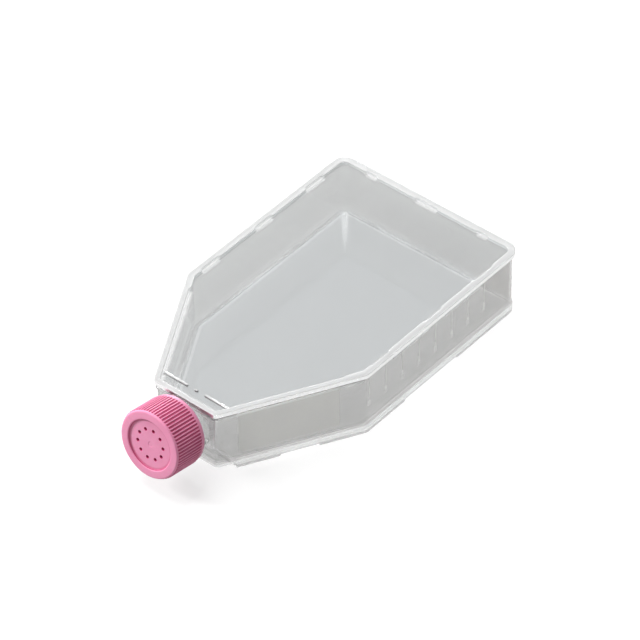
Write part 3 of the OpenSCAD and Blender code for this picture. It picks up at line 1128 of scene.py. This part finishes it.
@dataclass
class Plate:
    """The clear plate on top: panel, raised stacking rim with its pads, and the front bar."""

    outline: Outline
    top_z: float = 40.0
    panel_z: float = 37.8
    under_z: float = 36.3
    rim_z: float = 37.45
    rim_edge: float = 0.9
    panel_ring: float = 5.8
    under_ring: float = 6.2
    inner_inset: float = 2.9
    step_inset: float = 3.1
    pad_width: float = 1.0
    side_pads: Spans = ((60.8, 76.3), (89.8, 117.8), (130.8, 157.3), (171.8, 201.0))
    back_pads: Spans = ((7.0, 33.0), (40.0, 60.0))
    bar_from: float = 8.8
    bar_width: float = 1.2
    bar_height: float = 1.1
    bar_zone: float = 5.2
    bars: Spans = ((-1.0, 1.0), (5.5, 20.8), (-20.8, -5.5))

    def build(self) -> Piece:
        """The plate as one closed shell.

        Returns:
            The plate.
        """
        o = self.outline
        track = o.track([e for pair in self.side_pads for e in pair],
                        [e for pair in self.back_pads for e in pair])
        inner = self.inner_inset + self.pad_width * o.runs(track, self.side_pads, self.back_pads)
        low = self.rim_z + HAIRLINE
        panel, top, under, edge = self.panel_z, self.top_z, self.under_z, self.rim_edge
        stops = [(self.panel_ring, panel), (inner, panel, 0.12), (inner, top, 0.4), (inner - edge, top),
                 (edge, top), (0.0, top, 0.5), (0.0, low, 0.15), (self.step_inset, low, 0.1),
                 (self.step_inset, under, 0.3), (self.under_ring, under)]
        section = profile(stops, len(track.corner))
        plate = solid("culture_plate", o.sweep(track, section))
        front = self.bar_from - o.middle
        for low_x, high_x in self.bars:
            bar = box_grid((low_x, front, self.panel_z - 0.6),
                           (high_x, front + self.bar_width, self.panel_z + self.bar_height), 0.3)
            combine(plate, solid("front_bar", bar), Merge.ADD)
        self.tone(plate)
        return polish(plate)

    def tone(self, plate: Piece) -> None:
        """Paints the thick parts: the rim and the skirt under it, and the bars, with painted edge light.

        thick is the rim and the skirt, flat the rim's top between its rounded edges, upright all of the rim
        below its top, and crest the top of a bar.

        Args:
            plate: The plate.
        """
        points = points_of(plate)
        inset, z = self.outline.inset_of(points), points[:, 2]
        rim = past(z, self.panel_z + 0.02, 0.08)
        thick = np.maximum(rim, below(inset, self.step_inset + 0.1, 0.1))
        flat = within(inset, (0.6, self.inner_inset - 0.7), 0.2, 0.2) * past(z, self.top_z - 0.1, 0.1)
        bar = rim * past(inset, self.bar_zone, 0.3)
        crest = bar * past(z, self.panel_z + self.bar_height - 0.2, 0.15)
        upright = thick * (1 - bar) * below(z, self.top_z - 0.05, 0.2)
        # white is painted light: a pale skin on the rim's faces and the bars' tops that stands in for the
        # light these thick edges scatter and pipe
        paint(plate, mirror=upright,
              white=np.maximum.reduce([thick * 0.6, upright * 0.9, crest * 0.5]),
              open=np.maximum(thick * (0.3 + 0.3 * flat), bar),
              clear=np.maximum(thick * (0.9 - 0.7 * flat), bar * 0.9),
              tone=np.maximum(thick * (0.4 - 0.2 * flat), crest * 0.3))


@dataclass
class Markings:
    """What is raised on the walls: volume marks with their plain numbers, and the writing field."""

    outline: Outline
    wall_inset: float = 1.4
    first: float = 28.3
    spacing: float = 12.95
    count: int = 8
    top: float = 35.95
    length: float = 13.5
    width: float = 0.6
    rise: float = 0.2
    number_step: int = 50
    number_size: float = 3.4
    number_z: float = 18.6
    number_half: float = 0.12
    field_from: float = 12.5
    field_length: float = 53.0
    field_height: float = 25.6
    field_radius: float = 2.7
    field_top: float = 34.85
    field_edge: float = 0.06
    field_sunk: float = 0.05

    def marks(self) -> Piece:
        """The volume marks and their numbers, on the right wall.

        Returns:
            All of them as one piece.
        """
        o = self.outline
        face = o.width / 2 - self.wall_inset
        ys = o.length - self.first - self.spacing * np.arange(self.count) - o.middle
        made = [
            solid("mark", box_grid((face - 0.1, y - self.width / 2, self.top - self.length),
                                   (face + self.rise, y + self.width / 2, self.top), 0.08))
            for y in ys
        ]
        made += [self.number(str(self.number_step * (self.count - i)), face, y) for i, y in enumerate(ys)]
        return join("volume_marks", made)

    def number(self, words: str, face: float, y: float) -> Piece:
        """One raised number under its mark, read with the flask standing on its back.

        Args:
            words: The number.
            face: Place of the wall, across.
            y: Place of the mark, along.

        Returns:
            The number as a mesh in its place.
        """
        curve = bpy.data.curves.new("number", "FONT")
        curve.body, curve.size, curve.extrude = words, self.number_size * MM, self.number_half * MM
        curve.align_x, curve.align_y, curve.resolution_u = "CENTER", "CENTER", 2
        text = placed("number", curve)
        bpy.context.view_layer.update()
        mesh = bpy.data.meshes.new_from_object(text.evaluated_get(bpy.context.evaluated_depsgraph_get()))
        bpy.data.objects.remove(text)
        turn = Matrix(((0, 0, 1, 0), (0, -1, 0, 0), (1, 0, 0, 0), (0, 0, 0, 1)))
        mesh.transform(
            Matrix.Translation(Vector((face + self.number_half / 2, y, self.number_z)) * MM) @ turn)
        return placed("number", mesh)

    def field(self) -> Piece:
        """The frosted field on the right shoulder: a thin plate whose lower corners are round.

        Rows run up the field and columns through it: at height h the half length is the full half length less
        r - sqrt(r^2 - (r - h)^2) for h below the corners' radius r. Its outer edge is drawn in by field_edge.

        Returns:
            The field.
        """
        o, r, half = self.outline, self.field_radius, self.field_length / 2
        turn = np.linspace(0, 0.5 * math.pi, 8)
        rise = np.concatenate([r * (1 - np.cos(turn)), [self.field_height]])
        reach = half - np.concatenate([r * (1 - np.sin(turn)), [0.0]])
        h = np.concatenate([rise, rise[::-1]])[:, None]
        beside = np.concatenate([reach, -reach[::-1]])[:, None]
        depth = np.array([[-self.field_sunk, self.rise - self.field_edge, self.rise]])
        draw = np.array([[0.0, 0.0, self.field_edge]])
        along = self.field_from + half + beside * (1 - draw / half)
        z = self.field_top - self.field_height + h * (1 - draw / self.field_height)
        off = self.wall_inset - depth
        c, s = math.cos(o.shoulder_angle), math.sin(o.shoulder_angle)
        x, y = o.front / 2 + along * c - off * s, along * s + off * c - o.middle
        return polish(solid("writing_field", np.stack([x, y, z], axis=2)))


@dataclass
class Cap:
    """The pink screw cap: ribbed skirt, smooth rear band, recessed face with vents, lip and thread."""

    axle: Axle
    rear: float = 7.5
    top: float = 27.9
    radius: float = 18.3
    bore: float = 16.2
    crest: float = 15.0
    edge: float = 0.9
    ribs: int = 68
    rib_height: float = 0.5
    ribs_from: float = 9.5
    ribs_to: float = 27.0
    recess_r: float = 13.7
    recess_z: float = 26.8
    deck_under: float = 25.2
    hub_r: float = 0.4
    gate_r: float = 1.5
    gate_depth: float = 0.15
    lip_r: float = 12.85
    lip_bore: float = 11.95
    lip_end: float = 23.0
    vent_count: int = 10
    vent_r: float = 0.65
    vent_mouth: float = 1.0
    vent_circle: float = 8.2
    vent_turn: float = 10.7
    thread_start: float = 17.0

    def section(self) -> Array:
        """The cap's section, from the gate mark over the skirt to the deck's underside.

        Returns:
            Points [radius, along] x 2.
        """
        face, deck, lip, hub = self.recess_z, self.deck_under, self.lip_end, self.hub_r
        bevel, gate = (self.top - face) / 3, face - self.gate_depth
        stops = [
            (hub, gate), (self.gate_r - 0.08, gate, 0.05), (self.gate_r + 0.05, face, 0.05),
            (self.recess_r - bevel - 1.2, face), (self.recess_r - bevel, face, 0.35),
            (self.recess_r, self.top - bevel, 0.3), (self.recess_r + bevel, self.top, 0.3),
            (self.radius, self.top, self.edge), (self.radius, self.rear, 0.35), (self.bore, self.rear, 0.3),
            (self.bore, deck, 0.5), (self.lip_r, deck, 0.2), (self.lip_r, lip, 0.3),
            (self.lip_bore, lip, 0.25), (self.lip_bore, deck, 0.2), (hub, deck),
        ]
        return profile(stops, steps=5)[0]

    def skirted(self) -> Array:
        """The section with points added down the skirt, where the ribs start, run and end.

        Returns:
            Points [radius, along] x 2.
        """
        section = self.section()
        skirt = np.flatnonzero((np.abs(section[:-1, 0] - self.radius) < 1e-6)
                               & (np.diff(section[:, 1]) < -5))[0]
        ends = self.ribs_to - np.array([0, 0.12, 0.35, 0.7])
        tails = self.ribs_from + np.array([0.5, 0.25, 0.1, 0])
        along = np.concatenate([ends, np.linspace(self.ribs_to - 3, self.ribs_from + 3, 5), tails])
        rows = np.stack([np.full_like(along, self.radius), along], axis=1)
        return np.concatenate([section[: skirt + 1], rows, section[skirt + 1 :]])

    def vents(self) -> Array:
        """Middles of the vents, as vents x [across, up]."""
        at = math.radians(self.vent_turn) + round_steps(self.vent_count)
        return self.vent_circle * np.stack([np.cos(at), np.sin(at)], axis=1)

    def build(self) -> Piece:
        """The cap as one closed shell.

        The skirt's radius is radius + rib height x crest(angle) x run(along): crest falls from 1 in the
        middle of a rib to 0 at half of its root, and run fades at the ribs' ends.

        Returns:
            The cap.
        """
        section = self.skirted()
        share = np.array([-0.5, -0.38, -0.27, -0.2, -0.12, 0.0, 0.12, 0.2, 0.27, 0.38])
        angles = (2 * math.pi / self.ribs) * (np.arange(self.ribs)[:, None] + share[None]).ravel()
        crest = np.tile(below(np.abs(share), 0.28, 0.16), self.ribs)
        on_skirt = np.abs(section[:, 0] - self.radius) < 1e-6
        run = within(section[:, 1], (self.ribs_from, self.ribs_to), 0.5, 0.6)
        many = np.broadcast_to(section, (len(angles), *section.shape)).copy()
        many[..., 0] += self.rib_height * crest[:, None] * (run * on_skirt)[None]
        cap = solid("screw_cap", self.axle.turned(many, angles))
        thread = Thread(self.thread_start, self.bore, self.crest)
        combine(cap, solid("cap_thread", thread.grid(self.axle)), Merge.ADD)
        pin = np.array([(self.vent_r, self.deck_under - 1), (self.vent_r, self.recess_z - 0.45),
                        (self.vent_mouth - 0.03, self.recess_z - 0.03), (self.vent_mouth, self.recess_z),
                        (self.vent_mouth, self.recess_z + 1)])
        for across, up in self.vents():
            hole = self.axle.turned(pin, round_steps(28)) + self.axle.rows.T @ (across, up, 0.0)
            combine(cap, solid("vent", hole), Merge.CUT)
        self.paint_shade(cap)
        return polish(cap)

    def paint_shade(self, cap: Piece) -> None:
        """Paints shade into the hollows as a darker colour: between the ribs, in the vents, round the face's
        edge and inside the skirt.

        Args:
            cap: The cap.
        """
        local = (points_of(cap) - self.axle.origin) @ self.axle.rows.T
        r, s = np.hypot(local[:, 0], local[:, 1]), local[:, 2]
        on_skirt = (s > self.ribs_from + 0.2) & (s < self.ribs_to - 0.2) & (r > self.radius - 0.3)
        away = np.linalg.norm(local[:, None, :2] - self.vents()[None], axis=2).min(axis=1)
        slope = ((r > self.recess_r - 0.2) & (r < self.recess_r + 0.1)
                 & (s < self.top - 0.35) & (s > self.deck_under))
        zones = {
            "valley": np.where(on_skirt, 1 - (r - self.radius) / self.rib_height, 0.0),
            "inside": ((r < self.bore + 0.1) & (s < self.deck_under + 0.1)).astype(float),
            "vent": below(away, self.vent_mouth + 0.02, 0.02) * below(s, self.recess_z - 0.01, 0.02),
            "slope": slope.astype(float),
            "foot": past(r, self.recess_r - 1.5, 1.4) * (r < self.recess_r) * (s > self.recess_z - 0.02),
        }
        # Painted shade: each hollow's share of the dark colour stands for the shade that falls there
        hollow = strongest(zones, valley=0.85, inside=0.6, vent=1, slope=0.9, foot=0.65)
        paint(cap, hollow=np.clip(hollow, 0, 1))


@dataclass
class Membrane:
    """The filter disc behind the vents, sealed to the deck round its edge."""

    axle: Axle
    radius: float = 11.8
    hub_r: float = 0.3
    under: float = 24.9
    upper: float = 25.18
    edge: float = 0.05

    def build(self) -> Piece:
        """The disc as a closed shell.

        Its lower face is a turned curve: flat in the middle, pressed up by a tenth of a millimetre in the
        sealed ring, with a slight crown between them.

        Returns:
            The disc.
        """
        r = np.array([self.hub_r, 2.0, 4.0, 6.0, 8.0, 9.4, 9.7, 10.0, 10.8, 11.1, 11.4,
                      self.radius - self.edge])
        pressed = 0.1 * span(r, 9.7, 11.2, 0.4)
        crown = 0.03 * np.cos(r / self.radius * 2.5 * math.pi)
        under = np.stack([r, self.under + 0.03 + pressed + crown], axis=1)
        rim = np.array([[self.radius, self.under + 0.09], [self.radius, self.upper - 0.03]])
        over = np.array([[self.radius - self.edge, self.upper], [self.hub_r, self.upper]])
        section = np.concatenate([under, rim, over])
        return polish(solid("filter_disc", self.axle.turned(section, round_steps(96))))


# ------------------------------------------------------------------------------------------ stage


@dataclass
class Stage:
    """White bench, plain soft light, and the camera. Its lengths are metres and its angles degrees."""

    floor_size: float = 12.0
    floor_drop: float = 0.0001
    floor_colour: float = 0.38
    lift: float = 0.47
    glow: float = 0.19
    sky: float = 0.34
    azimuth: float = 40.913
    elevation: float = 42.796
    roll: float = -0.974
    distance: float = 2.1732
    target: Triple = (0.0, 0.01495, 0.0015)
    lens: float = 241.58
    shift: Pair = (0.01284, 0.05115)
    lit: Triple = (0.0, 0.0, 0.02)
    see_through: int = 48

    def build(self) -> None:
        """Lays the floor, lights it, and sets up the camera and the view."""
        half, low = self.floor_size / 2, -self.floor_drop
        corners = np.array([(-half, -half, low), (half, -half, low), (half, half, low), (-half, half, low)])
        bench = mesh_piece("bench", corners, [(0, 1, 2, 3)])
        bench.data.materials.append(self.bench_material())
        self.world()
        self.lamp("overhead", (-0.5, 0.0, 1.4), 0.8, 15.0)
        self.lamp("key", (-1.2, -0.7, 0.75), 0.35, 20.0)
        self.lamp("rim", (-1.2, 1.4, 0.5), 0.6, 13.0, True)
        self.camera()
        scene = bpy.context.scene
        scene.view_settings.view_transform = "Standard"
        scene.cycles.transparent_max_bounces = self.see_through

    def seen(self, g: Graph) -> tuple[Value, Value]:
        """1 for rays that show the background (camera, gloss or through glass), and 1 for the first."""
        camera, glossy, through = g.rays("Camera", "Glossy", "Transmission")
        return (camera + glossy + through).clipped(), camera

    def bench_material(self) -> Material:
        """Matt white paper, lifted to full white for the rays that show it.

        Returns:
            The material.
        """
        made = bpy.data.materials.new("white_bench")
        g = Graph(made)
        paper = g.value("BsdfDiffuse", Color=(self.floor_colour,) * 3)
        shown, camera = self.seen(g)
        light = g.value("Emission", Color=(1.0, 1.0, 1.0), Strength=shown * self.lift + camera * self.glow)
        g.finish(g.value("AddShader", i0=paper, i1=light))
        return made

    def world(self) -> None:
        """Even light from all round, white where it is seen."""
        world = bpy.data.worlds.new("studio")
        bpy.context.scene.world = world
        g = Graph(world)
        strength = self.seen(g)[0] * (1.0 - self.sky) + self.sky
        g.finish(g.value("Background", Color=(1.0, 1.0, 1.0), Strength=strength))

    def lamp(self, name: str, place: Sequence[float], size: float, power: float,
             mirrored: bool = False) -> None:
        """A soft square lamp that faces the flask.

        Args:
            name: Name of the lamp.
            place: Where it hangs.
            size: Length of its side.
            power: Power in watts.
            mirrored: Whether shiny faces mirror it.
        """
        light = bpy.data.lights.new(name, "AREA")
        light.shape, light.size, light.energy = "SQUARE", size, power
        made = placed(name, light)
        made.visible_glossy = mirrored
        made.location = place
        made.rotation_euler = (Vector(self.lit) - Vector(place)).to_track_quat("-Z", "Y").to_euler()

    def camera(self) -> None:
        """A long lens, turned slightly about its own line of sight."""
        a, e, r = (math.radians(v) for v in (self.azimuth, self.elevation, self.roll))
        back = Vector((math.sin(a) * math.cos(e), -math.cos(a) * math.cos(e), math.sin(e)))
        right = Vector((math.cos(a), math.sin(a), 0.0))
        up = back.cross(right)
        right, up = right * math.cos(r) + up * math.sin(r), up * math.cos(r) - right * math.sin(r)
        lens = bpy.data.cameras.new("camera")
        lens.lens, lens.sensor_width = self.lens, 36.0
        lens.shift_x, lens.shift_y = self.shift
        lens.clip_start, lens.clip_end = 0.05, 50.0
        made = placed("camera", lens)
        turn = Matrix((right, up, back)).transposed().to_4x4()
        made.matrix_world = Matrix.Translation(Vector(self.target) + back * self.distance) @ turn
        bpy.context.scene.camera = made


def dress(piece: Piece, body: str, material: Material,
          stands_for: Sequence[str] = ()) -> None:
    """Gives a piece its finish and its body, and reports it.

    Args:
        piece: The piece.
        body: Body that carries it.
        material: Its material.
        stands_for: CAD nodes that it replaces.
    """
    piece.data.materials.clear()
    piece.data.materials.append(material)
    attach(piece, body)
    if stands_for:
        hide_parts(*stands_for)
    log.info("%s: %d faces, on %s", piece.name, len(piece.data.polygons), body)


def main() -> None:
    """Builds the flask piece by piece, then its stage."""
    logging.basicConfig(level=logging.INFO, format="%(name)s: %(message)s")
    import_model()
    low, high = (np.array(c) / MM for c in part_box("top_plate"))
    whole_low = np.array(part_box("cap_shell")[0]) / MM
    outline = Outline(width=high[0] - low[0], length=high[1] - low[1], middle=-low[1])
    log.info("frame read: plate %.2f x %.2f mm, cap from %.2f mm",
             outline.width, outline.length, whole_low[1])
    start_z = Tray.rim_z - Tray.neck_r / math.cos(CANT)
    axle = Axle(np.array([0.0, Tray.wall_inset - outline.middle, start_z]), CANT)

    clear = ClearPlastic("clear_polystyrene").material()
    raised = FrostedPlastic("raised_marks", (0.97, 0.97, 0.96), 0.38).material()
    frosted = FrostedPlastic("frosted_polystyrene").material()
    markings = Markings(outline)
    dress(Tray(outline, axle).build(), "flask", clear, ["flask_body"])
    dress(Plate(outline).build(), "flask", clear, ["top_plate"])
    dress(markings.marks(), "flask", raised)
    dress(markings.field(), "flask", frosted)
    dress(Cap(axle).build(), "cap", PinkPlastic("pink_polyethylene").material(), ["cap_shell"])
    fabric = FilterFabric("filter_membrane").material()
    dress(Membrane(axle).build(), "filter", fabric, ["vent_membrane"])
    Stage().build()


if __name__ == "__main__":
    main()
